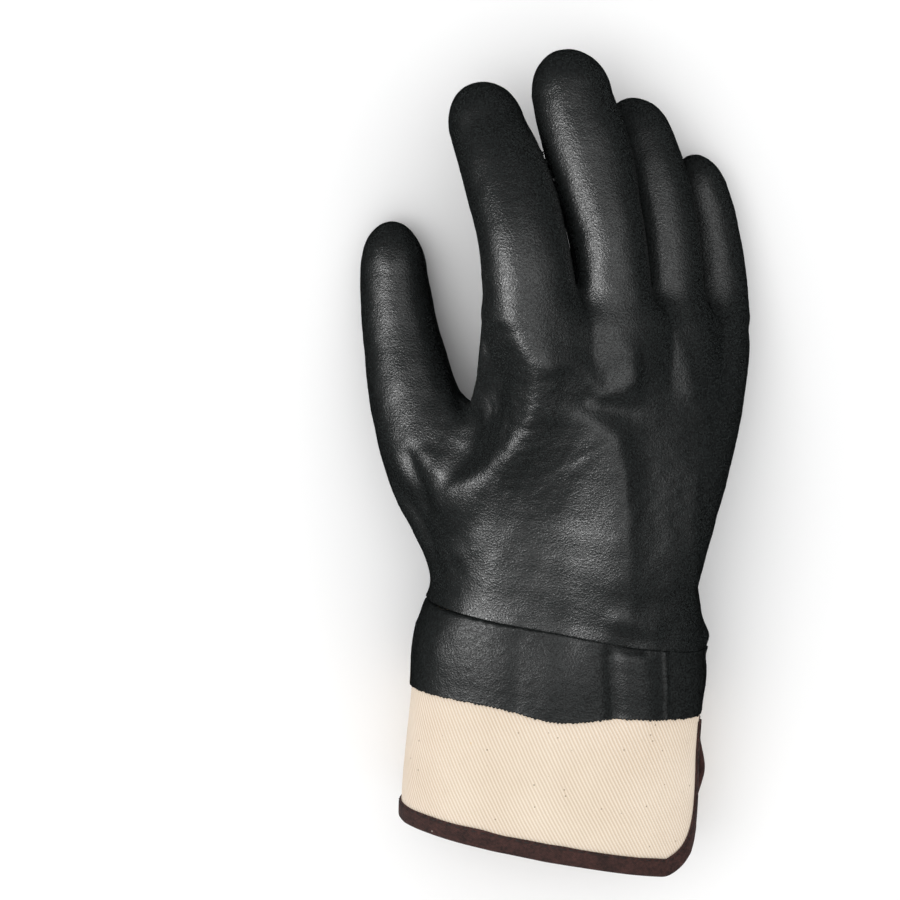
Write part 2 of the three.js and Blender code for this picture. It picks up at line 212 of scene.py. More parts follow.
def surface_nets(level, vox, y_from):
    """Quads round field = level for y above y_from: one point per crossed cell."""
    lo = np.min([l.lo for l in LIMBS.values()], 0)
    hi = np.max([l.hi for l in LIMBS.values()], 0)
    lo[1] = y_from
    ax = [np.arange(lo[k], hi[k] + vox, vox) for k in range(3)]
    # coarse pass first, fine only near the surface
    n = [len(a) for a in ax]
    c = [a[::4] for a in ax]
    gx, gy, gz = np.meshgrid(*c, indexing="ij")
    fc = field(np.stack([gx.ravel(), gy.ravel(), gz.ravel()], 1)).reshape(gx.shape) - level
    full = np.repeat(np.repeat(np.repeat(fc, 4, 0), 4, 1), 4, 2)[:n[0], :n[1], :n[2]].copy()
    near = np.abs(full) < 4 * vox * 2.2
    i = np.argwhere(near)
    p = np.stack([ax[k][i[:, k]] for k in range(3)], 1)
    full[near] = field(p) - level
    s = full < 0
    nx, ny, nz = s.shape
    cnt = np.zeros((nx - 1, ny - 1, nz - 1), int)
    corners = [(a, b, d) for a in (0, 1) for b in (0, 1) for d in (0, 1)]
    for a, b, d in corners:
        cnt += s[a:nx - 1 + a, b:ny - 1 + b, d:nz - 1 + d]
    act = (cnt > 0) & (cnt < 8)
    cell = np.argwhere(act)
    idx = -np.ones(act.shape, int)
    idx[act] = np.arange(len(cell))
    acc, num = np.zeros((len(cell), 3)), np.zeros(len(cell))
    fcn = {q: full[cell[:, 0] + q[0], cell[:, 1] + q[1], cell[:, 2] + q[2]] for q in corners}
    for q in corners:
        for k in range(3):
            if q[k] == 0:
                r = list(q); r[k] = 1
                fa, fb = fcn[q], fcn[tuple(r)]
                m = (fa < 0) != (fb < 0)
                t = np.where(m, fa / np.where(m, fa - fb, 1), 0)
                pt = np.array(q, float)[None] + np.zeros((len(cell), 1))
                pt[:, k] += t
                acc[m] += pt[m]
                num[m] += 1
    verts = lo + (cell + acc / num[:, None]) * vox
    quads = []
    for d in range(3):
        e1, e2 = (d + 1) % 3, (d + 2) % 3
        a = np.take(s, range(0, s.shape[d] - 1), axis=d)
        b = np.take(s, range(1, s.shape[d]), axis=d)
        ch = np.argwhere(a != b)
        ok = (ch[:, e1] > 0) & (ch[:, e2] > 0) & (ch[:, e1] < s.shape[e1] - 1) & (ch[:, e2] < s.shape[e2] - 1)
        ch = ch[ok]
        o1, o2 = np.zeros(3, int), np.zeros(3, int)
        o1[e1], o2[e2] = 1, 1
        q = np.stack([idx[tuple((ch - x).T)] for x in (0 * o1, o1, o1 + o2, o2)], 1)
        inside = a[tuple(ch.T)]
        q[~inside] = q[~inside][:, ::-1]
        quads.append(q)
    return to_surface(verts, level, 0.5 * vox), np.vstack(quads)


def relax(v, q, level, times=2, amount=0.5):
    """Even out the net along the surface."""
    e = np.vstack([q[:, [k, (k + 1) % 4]] for k in range(4)])
    for _ in range(times):
        acc, num = np.zeros_like(v), np.zeros(len(v))
        for k in range(3):
            acc[:, k] = np.bincount(e[:, 0], v[e[:, 1], k], len(v)) + np.bincount(e[:, 1], v[e[:, 0], k], len(v))
        num = np.bincount(e[:, 0], minlength=len(v)) + np.bincount(e[:, 1], minlength=len(v))
        v = v + amount * (acc / np.maximum(num, 1)[:, None] - v)
        v = to_surface(v, level, 0.5, 1)
    return v


# ------------------------------------------------------------------ folds
def smooth(x, a, b):
    t = np.clip((x - a) / (b - a), 0, 1)
    return t * t * (3 - 2 * t)


def line_fold(x, y, pts, left, right, height, power=2.0):
    best, side, tall = np.full(len(x), 1e9), np.zeros(len(x)), np.zeros(len(x))
    heights = height if isinstance(height, tuple) else (height,) * len(pts)
    for (ax, ay), (bx, by), h0, h1 in zip(pts[:-1], pts[1:], heights[:-1], heights[1:]):
        dx, dy = bx - ax, by - ay
        t = np.clip(((x - ax) * dx + (y - ay) * dy) / (dx * dx + dy * dy), 0, 1)
        ex, ey = x - ax - t * dx, y - ay - t * dy
        d = np.hypot(ex, ey)
        s = dx * ey - dy * ex
        m = d < best
        best[m], side[m], tall[m] = d[m], (s / (math.hypot(dx, dy) * np.maximum(d, 1e-6)))[m], (h0 + (h1 - h0) * t)[m]
    # a soft change from one width to the other
    w = (left + right) / 2 + (left - right) / 2 * np.clip(side, -1, 1)
    return tall * np.exp(-((best / w) ** power))


def waves(p, size, count=14):
    """Smooth seeded noise, about -1 to 1, with features of `size` mm."""
    out, rng = np.zeros(len(p)), np.random.RandomState(int(size * 10))
    for _ in range(count):
        k = rng.normal(size=3)
        k *= (2 * math.pi / size) * rng.uniform(0.7, 1.4) / np.linalg.norm(k)
        out += np.sin(p @ k + rng.uniform(0, 6.3))
    return out / math.sqrt(count)


def seam_y(x):
    return SEAM_Y + SEAM_SLOPE * x


def coat_y(x):
    return COAT_Y + COAT_SLOPE * x - COAT_DIP * np.exp(-((x / COAT_DIP_WIDTH) ** 2))


def hem_y(x):
    return HEM_Y + HEM_SLOPE * x


def displacement(p, n):
    """How far a point of the coated surface stands out along its normal."""
    x, y = p[:, 0], p[:, 1]
    top, under = smooth(n[:, 2], 0.0, 0.45), smooth(-n[:, 2], 0.0, 0.45)
    d = np.zeros(len(p))
    back, pal = np.zeros(len(p)), np.zeros(len(p))
    for f in BACK_FOLDS:
        back += line_fold(x, y, *f)
    for f in PALM_FOLDS:
        pal += line_fold(x, y, *f)
    d += back * top + pal * under
    # nub of the side seam where it meets the cuff
    d += 2.2 * smooth(x, 38.0, 44.0) * np.exp(-((y + 55.5) / 4.5) ** 2 - ((p[:, 2] - 27.0) / 5.0) ** 2)
    keep = smooth(y, -75, -45) * 0.7 + 0.3
    d += 0.16 * keep * waves(p, 26.0) + 0.06 * keep * waves(p, 9.0) + 0.025 * waves(p, 4.0)
    return d


def fold_below(p, n):
    """The back's folds as the cloth under the coating follows them, dying out on the bare cuff."""
    x, y = p[..., 0].ravel(), p[..., 1].ravel()
    d = sum(line_fold(x, y, *f) for f in BACK_FOLDS)
    d *= smooth(n[..., 2].ravel(), 0.0, 0.45) * smooth(y, coat_y(x) - 14.0, coat_y(x) + 3.0)
    return d.reshape(p.shape[:-1])


def normals(v, q):
    a, b, c, e = (v[q[:, k]] for k in range(4))
    fn = np.cross(c - a, e - b)
    n = np.zeros_like(v)
    for k in range(4):
        for j in range(3):
            n[:, j] += np.bincount(q[:, k], fn[:, j], len(v))
    return n / np.maximum(np.linalg.norm(n, axis=1), 1e-12)[:, None]


# ------------------------------------------------------------------ making meshes
def new_piece(name, verts, faces, mats, node, face_mat=None, smooth_faces=True, uv=None):
    me = bpy.data.meshes.new(name)
    me.from_pydata(((np.asarray(verts) - CENTRE) / 1000.0).tolist(), [], [list(map(int, f)) for f in faces])
    me.update()
    for m in mats:
        me.materials.append(m)
    if face_mat is not None:
        me.polygons.foreach_set("material_index", np.asarray(face_mat, np.int32))
    me.polygons.foreach_set("use_smooth", np.full(len(me.polygons), smooth_faces))
    if uv is not None:
        layer = me.uv_layers.new(name="cloth")
        loop_v = np.empty(len(me.loops), np.int32)
        me.loops.foreach_get("vertex_index", loop_v)
        layer.data.foreach_set("uv", np.asarray(uv, np.float32)[loop_v].ravel())
    ob = bpy.data.objects.new(name, me)
    bpy.context.scene.collection.objects.link(ob)
    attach(ob, "root")
    if node:
        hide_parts(node)
    return ob


# ------------------------------------------------------------------ materials
class Nodes:
    def __init__(self, name):
        self.mat = bpy.data.materials.new(name)
        self.mat.use_nodes = True
        self.t = self.mat.node_tree
        self.bsdf = self.t.nodes["Principled BSDF"]

    def add(self, kind, **values):
        n = self.t.nodes.new(kind)
        for k, v in values.items():
            if hasattr(n, k):
                setattr(n, k, v)
            else:
                n.inputs[k.replace("_", " ")].default_value = v
        return n

    def link(self, a, b):
        self.t.links.new(a, b)
        return b

    def math(self, op, a, b=0.0, c=0.0):
        n = self.t.nodes.new("ShaderNodeMath")
        n.operation = op
        for i, v in enumerate((a, b, c)):
            if isinstance(v, (int, float)):
                n.inputs[i].default_value = v
            else:
                self.link(v, n.inputs[i])
        return n.outputs[0]

    def ramp(self, src, stops):
        n = self.t.nodes.new("ShaderNodeValToRGB")
        e = n.color_ramp.elements
        while len(e) < len(stops):
            e.new(0.5)
        for el, (pos, col) in zip(e, stops):
            el.position = pos
            el.color = (*col, 1) if len(col) == 3 else col
        self.link(src, n.inputs[0])
        return n.outputs[0]

    def mix(self, fac, a, b):
        n = self.t.nodes.new("ShaderNodeMix")
        n.data_type = "RGBA"
        for s, v in ((n.inputs[0], fac), (n.inputs[6], a), (n.inputs[7], b)):
            if isinstance(v, (int, float)):
                s.default_value = v
            elif isinstance(v, tuple):
                s.default_value = (*v, 1)
            else:
                self.link(v, s)
        return n.outputs[2]

    def noise(self, coords, scale, detail=2.0, rough=0.5):
        n = self.t.nodes.new("ShaderNodeTexNoise")
        n.inputs["Scale"].default_value = scale
        n.inputs["Detail"].default_value = detail
        n.inputs["Roughness"].default_value = rough
        self.link(coords, n.inputs["Vector"])
        return n.outputs[0]

    def bump(self, height, distance, strength=1.0, normal=None):
        n = self.t.nodes.new("ShaderNodeBump")
        n.inputs["Distance"].default_value = distance
        n.inputs["Strength"].default_value = strength
        self.link(height, n.inputs["Height"])
        if normal is not None:
            self.link(normal, n.inputs["Normal"])
        return n.outputs[0]

    def coords(self):
        return self.t.nodes.new("ShaderNodeTexCoord").outputs["Object"]

    def uv(self):
        n = self.t.nodes.new("ShaderNodeUVMap")
        n.uv_map = "cloth"
        return n.outputs[0]


def coating(name, base, rough, grain, twill=0.0, gloss=0.5):
    m = Nodes(name)
    co = m.coords()
    fine = m.noise(co, 1750.0, 2.0, 0.6)
    mid = m.noise(co, 900.0, 2.0, 0.5)
    soft = m.noise(co, 260.0, 2.0, 0.5)
    patch = m.noise(co, 45.0, 2.0, 0.5)
    height = m.math("ADD", fine, m.math("ADD", m.math("MULTIPLY", mid, 0.25), m.math("MULTIPLY", soft, 0.2)))
    nrm = m.bump(height, 0.00020 * grain)
    if twill:
        uv = m.t.nodes.new("ShaderNodeSeparateXYZ")
        m.link(m.uv(), uv.inputs[0])
        line = m.math("SINE", m.math("MULTIPLY", m.math("ADD", uv.outputs[0], m.math("MULTIPLY", uv.outputs[1], -0.55)), 2 * math.pi / 1.25))
        nrm = m.bump(line, 0.00005 * twill, 1.0, nrm)
    m.link(nrm, m.bsdf.inputs["Normal"])
    speck = m.ramp(fine, [(0.36, (0, 0, 0)), (0.64, (1, 1, 1))])
    col = m.mix(speck, tuple(c * 0.3 for c in base), tuple(c * 2.2 for c in base))
    m.link(col, m.bsdf.inputs["Base Color"])
    r = m.math("ADD", m.math("MULTIPLY", speck, -0.24), m.math("ADD", m.math("MULTIPLY", patch, 0.08), rough + 0.06))
    m.link(r, m.bsdf.inputs["Roughness"])
    m.bsdf.inputs["Specular IOR Level"].default_value = gloss
    return m.mat


def canvas_material():
    m = Nodes("canvas_twill")
    uv = m.t.nodes.new("ShaderNodeSeparateXYZ")
    m.link(m.uv(), uv.inputs[0])
    u, v = uv.outputs[0], uv.outputs[1]
    co = m.coords()
    wob = m.math("MULTIPLY", m.math("SUBTRACT", m.noise(co, 160.0, 2.0), 0.5), 0.5)
    w = m.math("ADD", m.math("ADD", u, m.math("MULTIPLY", v, -0.55)), wob)
    ridge = m.math("SINE", m.math("MULTIPLY", w, 2 * math.pi / 1.22))
    ridge = m.math("MULTIPLY_ADD", ridge, 0.5, 0.5)
    yarn = m.math("SINE", m.math("MULTIPLY", m.math("ADD", v, m.math("MULTIPLY", u, 0.5)), 2 * math.pi / 0.62))
    yarn = m.math("MULTIPLY_ADD", yarn, 0.5, 0.5)
    fibre = m.noise(co, 2600.0, 2.0)
    height = m.math("ADD", m.math("MULTIPLY", ridge, 1.0), m.math("ADD", m.math("MULTIPLY", yarn, 0.08), m.math("MULTIPLY", fibre, 0.5)))
    nrm = m.bump(height, 0.00016)
    m.link(nrm, m.bsdf.inputs["Normal"])
    patch = m.noise(co, 38.0, 3.0)
    # the twill's ribs get the paler colour and its grooves the darker one, following the same ridge as the bump: the
    # darker grooves are painted shade, while the patchy tone in both is the cloth's own
    light = m.ramp(patch, [(0.32, (0.775, 0.665, 0.55)), (0.68, (0.82, 0.715, 0.60))])
    dark = m.ramp(patch, [(0.32, (0.60, 0.46, 0.32)), (0.68, (0.67, 0.53, 0.39))])
    col = m.mix(m.math("POWER", ridge, 0.6), dark, light)
    # seed flecks, dark and few, and yellowish slubs
    vor = m.t.nodes.new("ShaderNodeTexVoronoi")
    vor.inputs["Scale"].default_value = 240.0
    m.link(co, vor.inputs["Vector"])
    pick = m.t.nodes.new("ShaderNodeSeparateColor")
    m.link(vor.outputs["Color"], pick.inputs[0])
    fleck = m.math("MULTIPLY", m.math("LESS_THAN", vor.outputs["Distance"], 0.075), m.math("LESS_THAN", pick.outputs[0], 0.8))
    col = m.mix(m.math("MULTIPLY", fleck, 0.6), col, (0.20, 0.13, 0.07))
    vor2 = m.t.nodes.new("ShaderNodeTexVoronoi")
    vor2.inputs["Scale"].default_value = 90.0
    m.link(co, vor2.inputs["Vector"])
    pick2 = m.t.nodes.new("ShaderNodeSeparateColor")
    m.link(vor2.outputs["Color"], pick2.inputs[0])
    slub = m.math("MULTIPLY", m.math("LESS_THAN", vor2.outputs["Distance"], 0.11), m.math("LESS_THAN", pick2.outputs[1], 0.45))
    col = m.mix(m.math("MULTIPLY", slub, 0.35), col, (0.70, 0.47, 0.20))
    m.link(col, m.bsdf.inputs["Base Color"])
    m.bsdf.inputs["Roughness"].default_value = 0.92
    m.bsdf.inputs["Specular IOR Level"].default_value = 0.2
    m.bsdf.inputs["Sheen Weight"].default_value = 0.15
    m.bsdf.inputs["Sheen Roughness"].default_value = 0.6
    return m.mat


def binding_material():
    m = Nodes("binding_tape")
    uv = m.t.nodes.new("ShaderNodeSeparateXYZ")
    m.link(m.uv(), uv.inputs[0])
    u, v = uv.outputs[0], uv.outputs[1]
    co = m.coords()
    a = m.math("SINE", m.math("MULTIPLY", u, 2 * math.pi / 0.85))
    b = m.math("SINE", m.math("MULTIPLY", v, 2 * math.pi / 0.75))
    weave = m.math("MULTIPLY", a, b)
    fibre = m.noise(co, 1800.0, 2.0)
    nrm = m.bump(m.math("ADD", m.math("MULTIPLY", weave, 0.5), fibre), 0.00012)
    m.link(nrm, m.bsdf.inputs["Normal"])
    patch = m.noise(co, 220.0, 3.0)
    patch = m.math("ADD", m.math("MULTIPLY", patch, 0.4), m.math("MULTIPLY", m.noise(co, 1100.0, 2.0, 0.6), 0.6))
    base = m.ramp(patch, [(0.36, (0.020, 0.0065, 0.0050)), (0.66, (0.078, 0.027, 0.021))])
    col = m.mix(m.math("MULTIPLY", m.math("MULTIPLY_ADD", weave, 0.5, 0.5), 0.3), base, (0.018, 0.007, 0.005))
    vor = m.t.nodes.new("ShaderNodeTexVoronoi")
    vor.inputs["Scale"].default_value = 170.0
    m.link(co, vor.inputs["Vector"])
    pick = m.t.nodes.new("ShaderNodeSeparateColor")
    m.link(vor.outputs["Color"], pick.inputs[0])
    lint = m.math("MULTIPLY", m.math("LESS_THAN", vor.outputs["Distance"], 0.05), m.math("LESS_THAN", pick.outputs[0], 0.16))
    col = m.mix(m.math("MULTIPLY", lint, 0.5), col, (0.45, 0.38, 0.33))
    m.link(col, m.bsdf.inputs["Base Color"])
    m.bsdf.inputs["Roughness"].default_value = 0.85
    m.bsdf.inputs["Specular IOR Level"].default_value = 0.25
    m.bsdf.inputs["Sheen Weight"].default_value = 0.04
    m.bsdf.inputs["Sheen Roughness"].default_value = 0.5
    return m.mat


def lining_material():
    m = Nodes("jersey_lining")
    co = m.coords()
    sep = m.t.nodes.new("ShaderNodeSeparateXYZ")
    m.link(co, sep.inputs[0])
    rib = m.math("SINE", m.math("MULTIPLY", sep.outputs[0], 2 * math.pi / 0.0013))
    fibre = m.noise(co, 900.0, 3.0)
    nrm = m.bump(m.math("ADD", m.math("MULTIPLY", rib, 0.5), fibre), 0.0003)
    m.link(nrm, m.bsdf.inputs["Normal"])
    col = m.ramp(m.noise(co, 60.0, 2.0), [(0.3, (0.62, 0.55, 0.44)), (0.7, (0.72, 0.65, 0.53))])
    m.link(col, m.bsdf.inputs["Base Color"])
    m.bsdf.inputs["Roughness"].default_value = 0.95
    m.bsdf.inputs["Sheen Weight"].default_value = 0.2
    return m.mat


def thread_material(name, colour):
    m = Nodes(name)
    co = m.coords()
    n = m.noise(co, 2500.0, 2.0)
    m.link(m.bump(n, 0.0001), m.bsdf.inputs["Normal"])
    m.link(m.ramp(n, [(0.3, tuple(c * 0.8 for c in colour)), (0.7, colour)]), m.bsdf.inputs["Base Color"])
    m.bsdf.inputs["Roughness"].default_value = 0.7
    return m.mat


COAT = coating("pvc_coating", (0.0090, 0.0105, 0.0104), 0.36, 1.0)
BAND = coating("pvc_coating_over_cuff", (0.0090, 0.0105, 0.0104), 0.42, 0.8, 0.13, 0.28)
LINING = lining_material()
CANVAS_MAT = canvas_material()
TAPE_MAT = binding_material()
THREAD = thread_material("brown_thread", (0.020, 0.009, 0.007))

# ------------------------------------------------------------------ coated hand
def boundary_loop(bm, plane_co, plane_no):
    """Vertices of the open edge on a plane, in order."""
    edges = [e for e in bm.edges if e.is_boundary]
    nxt = {}
    for e in edges:
        for a, b in ((e.verts[0], e.verts[1]), (e.verts[1], e.verts[0])):
            nxt.setdefault(a, []).append(b)
    start = next(iter(nxt))
    loop, prev, cur = [start], None, start
    while True:
        cand = [v for v in nxt[cur] if v is not prev]
        prev, cur = cur, cand[0]
        if cur is start:
            break
        loop.append(cur)
    return loop


def half_shell(level, vox, displace):
    """The surface at a level, cut along the seam. Returns points, faces and the ordered seam loop."""
    v, q = surface_nets(level, vox, -70.0)
    v = relax(v, q, level)
    if displace:
        n = normals(v, q)
        v = v + n * displacement(v, n)[:, None]
    else:
        n = normals(v, q)
        v = v + n * (displacement(v, n) * 0.85)[:, None]
    v[:, 2] = np.maximum(v[:, 2], -level)
    me = bpy.data.meshes.new("tmp")
    me.from_pydata(v.tolist(), [], q.tolist())
    bm = bmesh.new()
    bm.from_mesh(me)
    bpy.data.meshes.remove(me)
    no = Vector((-SEAM_SLOPE, 1.0, 0.0)).normalized()
    co = Vector((0.0, SEAM_Y, 0.0))
    bmesh.ops.bisect_plane(bm, geom=bm.verts[:] + bm.edges[:] + bm.faces[:], dist=1e-4, plane_co=co, plane_no=no, clear_inner=True)
    bmesh.ops.remove_doubles(bm, verts=[x for x in bm.verts if abs((x.co - co).dot(no)) < 1e-3], dist=0.05)
    loop = boundary_loop(bm, co, no)
    bm.verts.index_update()
    pts = np.array([x.co[:] for x in bm.verts])
    faces = [[x.index for x in f.verts] for f in bm.faces]
    ids = [x.index for x in loop]
    bm.free()
    # counter-clockwise seen from the fingers' side (+X first)
    cx, cz = pts[ids][:, 0].mean(), pts[ids][:, 2].mean()
    ang = np.unwrap(np.arctan2(pts[ids][:, 2] - cz, pts[ids][:, 0] - cx))
    if ang[-1] < ang[0]:
        ids = ids[::-1]
    k = int(np.argmax(pts[ids][:, 0]))
    ids = ids[k:] + ids[:k]
    return pts, faces, ids


def zip_loops(pa, pb, ia, ib):
    """Triangles between two closed loops of unlike counts, walked by angle."""
    c = (pa.mean(0) + pb.mean(0)) / 2

    def angles(p):
        a = np.arctan2(p[:, 2] - c[2], p[:, 0] - c[0])
        a = np.unwrap(a)
        return a - 2 * math.pi * round((a[0]) / (2 * math.pi))
    aa, ab = angles(pa), angles(pb)
    aa, ab = np.append(aa, aa[0] + 2 * math.pi), np.append(ab, ab[0] + 2 * math.pi)
    i = j = 0
    tris = []
    while i < len(pa) or j < len(pb):
        if j >= len(pb) or (i < len(pa) and aa[i + 1] <= ab[j + 1]):
            tris.append([ia[i % len(ia)], ia[(i + 1) % len(ia)], ib[j % len(ib)]])
            i += 1
        else:
            tris.append([ia[i % len(ia)], ib[(j + 1) % len(ib)], ib[j % len(ib)]])
            j += 1
    return tris


NO = np.array([-SEAM_SLOPE, 1.0, 0.0]) / math.hypot(SEAM_SLOPE, 1.0)
out_v, out_f, out_l = half_shell(0.0, VOXEL, True)
in_v, in_f, in_l = half_shell(-HAND_WALL, 2.3, False)
seam_ring = out_v[out_l].copy()


def ring_resample(p, n):
    """n points round a closed ring in the seam's plane, evenly along it, from its +X end."""
    q = np.vstack([p, p[:1]])
    s = np.append(0, np.cumsum(np.linalg.norm(np.diff(q, axis=0), axis=1)))
    t = np.linspace(0, s[-1], n, endpoint=False)
    return np.stack([np.interp(t, s, q[:, k]) for k in range(3)], 1)


# the edge rolls in: quarter round of the wall's outer half, then in to the lining
def roll_rings(ring, ids_start):
    c = np.array([ring[:, 0].mean(), 0, ring[:, 2].mean()])
    nxt, prv = np.roll(ring, -1, 0), np.roll(ring, 1, 0)
    tan = nxt - prv
    tan /= np.linalg.norm(tan, axis=1)[:, None]
    inward = np.cross(tan, NO)
    inward *= np.sign(((c - ring) * inward * [1, 0, 1]).sum(1))[:, None]
    inward /= np.linalg.norm(inward, axis=1)[:, None]
    rings = []
    for deg in (30, 60, 90):
        a = math.radians(deg)
        rings.append(ring - NO * 0.35 * math.sin(a) + inward * 0.35 * (1 - math.cos(a)))
    rings.append(ring - NO * 0.35 + inward * 0.9)
    return rings


verts, faces = [out_v], [list(f) for f in out_f]
base = len(out_v)
prev = out_l
for r in roll_rings(seam_ring, base):
    r = r.copy()
    r[:, 2] = np.maximum(r[:, 2], 0.0)
    ids = list(range(base, base + len(r)))
    verts.append(r)
    for k in range(len(ids)):
        k2 = (k + 1) % len(ids)
        faces.append([prev[k], prev[k2], ids[k2], ids[k]])
    prev, base = ids, base + len(r)
outer_faces = len(faces)
verts.append(in_v)
allv = np.vstack(verts)
in_ids = [i + base for i in in_l]
zipped = zip_loops(allv[prev], allv[in_ids], prev, in_ids)
faces += zipped
faces += [[i + base for i in f[::-1]] for f in in_f]
face_mat = [0] * (outer_faces + len(zipped)) + [1] * len(in_f)
hand = new_piece("hand_coating", allv, faces, [COAT, LINING], "coated_hand", face_mat)
bm = bmesh.new()
bm.from_mesh(hand.data)
bmesh.ops.recalc_face_normals(bm, faces=bm.faces)
bm.to_mesh(hand.data)
bm.free()


# ------------------------------------------------------------------ cuff section
CUFF = spline(SECTIONS["palm"], 14)
CUFF = CUFF[CUFF[:, 1] < 0]


def section_at(y):
    return [np.interp(y, CUFF[:, 1], CUFF[:, k]) for k in (0, 2, 3, 4, 5)]


def cuff_point(theta, y, inset):
    cx, cz, a, up, down = section_at(y)
    c, s = np.cos(theta), np.sin(theta)
    e = 2 / PALM_POWER
    x = cx + (a - inset) * np.sign(c) * np.abs(c) ** e
    z = cz + (np.where(s > 0, up, down) - inset) * np.sign(s) * np.abs(s) ** e
    return np.stack([x, y, np.maximum(z, inset)], -1)


# even angles round the section, so that grid columns are evenly spaced along the cloth
_th = np.linspace(0, 2 * math.pi, 20001)
_p = cuff_point(_th, np.full(len(_th), -100.0), 0.0)
_s = np.append(0, np.cumsum(np.linalg.norm(np.diff(_p, axis=0), axis=1)))
GIRTH = _s[-1]


def theta_at(s):
    return np.interp(s, _s, _th)


def y_between(theta, t, f0, f1):
    """y at fraction t between two slanted lines, which depend on the point's own x."""
    y = f0(0.0) + (f1(0.0) - f0(0.0)) * t
    for _ in range(4):
        x = cuff_point(theta, y, 0.0)[..., 0]
        y = f0(x) + (f1(x) - f0(x)) * t
    return y


def grid_faces(rows, cols, close, flip=False):
    f = []
    for i in range(rows - 1):
        for j in range(cols if close else cols - 1):
            k = (j + 1) % cols
            q = [i * cols + j, i * cols + k, (i + 1) * cols + k, (i + 1) * cols + j]
            f.append(q[::-1] if flip else q)
    return f


# ------------------------------------------------------------------ coating over the cuff
NCOL = 1000
cols = np.arange(NCOL) * GIRTH / NCOL
th = theta_at(cols)
tooth_n = int(round(GIRTH / 1.28))
tooth_r = np.random.RandomState(3)
teeth = np.interp(cols, np.linspace(0, GIRTH, 2 * tooth_n + 1),
                  [(0.55 if k % 2 else 0.0) * tooth_r.uniform(0.45, 1.25) + tooth_r.uniform(-0.12, 0.12) for k in range(2 * tooth_n)] + [0.0])


def band_rows(inset_at, t_rows, outer):
    rows = []
    for t in t_rows:
        y = y_between(th, np.full(NCOL, t), seam_y, coat_y)
        rows.append(cuff_point(th, y, inset_at(t)))
    return np.array(rows)


t_rows = np.concatenate([[0.0, 0.012, 0.025, 0.045, 0.07], np.linspace(0.1, 0.93, 44), [0.95, 0.965, 0.98, 0.99, 1.0]])
outer_rows = []
for t in t_rows:
    y = y_between(th, np.full(NCOL, t), seam_y, coat_y)
    p = to_surface(cuff_point(th, y, 0.0), 0.0, 1.0, 2)
    p[:, 1] = y
    outer_rows.append(p)
outer_rows = np.array(outer_rows)
flat = outer_rows.reshape(-1, 3)
gn = gradient(field, flat)
gn /= np.linalg.norm(gn, axis=1)[:, None]
disp = displacement(flat, gn).reshape(len(t_rows), NCOL)
tt = t_rows[:, None]
# the seam: the band comes out from under the hand's rolled edge; it thins towards its lower edge
xs, zs = outer_rows[..., 0], outer_rows[..., 2]
topside = smooth(gn[:, 2].reshape(disp.shape), -0.1, 0.5)
rag = waves(np.stack([cols, 0 * cols, 0 * cols], 1), 5.0)[None, :]
crease = 1 - 0.85 * smooth(xs, -22.0, 0.0) * topside      # it fades along the back of the hand
disp = disp - 1.15 * np.exp(-((tt / (0.008 + 0.014 * crease * (1 + 0.35 * rag))) ** 2)) - 0.65 * smooth(tt, 0.5, 1.0)
# pucker: the seam is drawn in deep, right of the middle, with a ragged lip
lens = np.exp(-(((xs - 23.0) / 7.5) ** 2) ** 1.5)
disp -= topside * lens * (2.15 + 0.3 * rag) * np.exp(-(tt / 0.11) ** 2)
# side seam on the little-finger side with the nub where it meets the cuff seam
s_side = np.minimum(cols, GIRTH - cols)[None, :]
disp += 0.9 * np.exp(-(s_side / 1.6) ** 2) * (1 - 0.6 * tt)
p = flat + gn * disp.reshape(-1, 1)
p = p.reshape(len(t_rows), NCOL, 3)
p[-5:, :, 1] -= teeth[None, :] * np.array([0.2, 0.4, 0.7, 0.9, 1.0])[:, None]
p[..., 2] = np.maximum(p[..., 2], 0.0)
edge_out = p[-1]


def under_band(y):
    q, far = cuff_point(th, y, COAT_OVER + 0.2), cuff_point(th, y, -6.0)
    n = far - q
    n /= np.linalg.norm(n, axis=-1)[..., None]
    q = q + n * fold_below(cuff_point(th, y, 0.0), n)[..., None]
    q[..., 2] = np.maximum(q[..., 2], COAT_OVER + 0.2)
    return q


mid = under_band(edge_out[:, 1] - 0.05)
inner = []
for t in (0.97, 0.6, 0.3, 0.03):
    y = y_between(th, np.full(NCOL, t), seam_y, coat_y)
    inner.append(under_band(y))
allrows = np.concatenate([p, mid[None] * 0.5 + edge_out[None] * 0.5 - [0, 0.12, 0], mid[None], np.array(inner)], 0)
R = len(allrows)
f = grid_faces(R, NCOL, True)
# close to the first row
for j in range(NCOL):
    k = (j + 1) % NCOL
    f.append([(R - 1) * NCOL + j, (R - 1) * NCOL + k, k, j])
uv_s = np.tile(cols, R)
uv = np.stack([uv_s, allrows[..., 1].ravel()], 1)
band = new_piece("coating_over_cuff", allrows.reshape(-1, 3), f, [BAND], "coated_hand", uv=uv)


def fix_normals(ob):
    bm = bmesh.new()
    bm.from_mesh(ob.data)
    bmesh.ops.recalc_face_normals(bm, faces=bm.faces)
    bm.to_mesh(ob.data)
    bm.free()


fix_normals(band)

# ------------------------------------------------------------------ canvas cuff
OUT, IN = COAT_OVER + GAP, COAT_OVER + GAP + CANVAS
HEM_AT_SLIT = float(hem_y(50.0))
TAPE_IN = 0.9   # the canvas ends this far inside the binding's outline


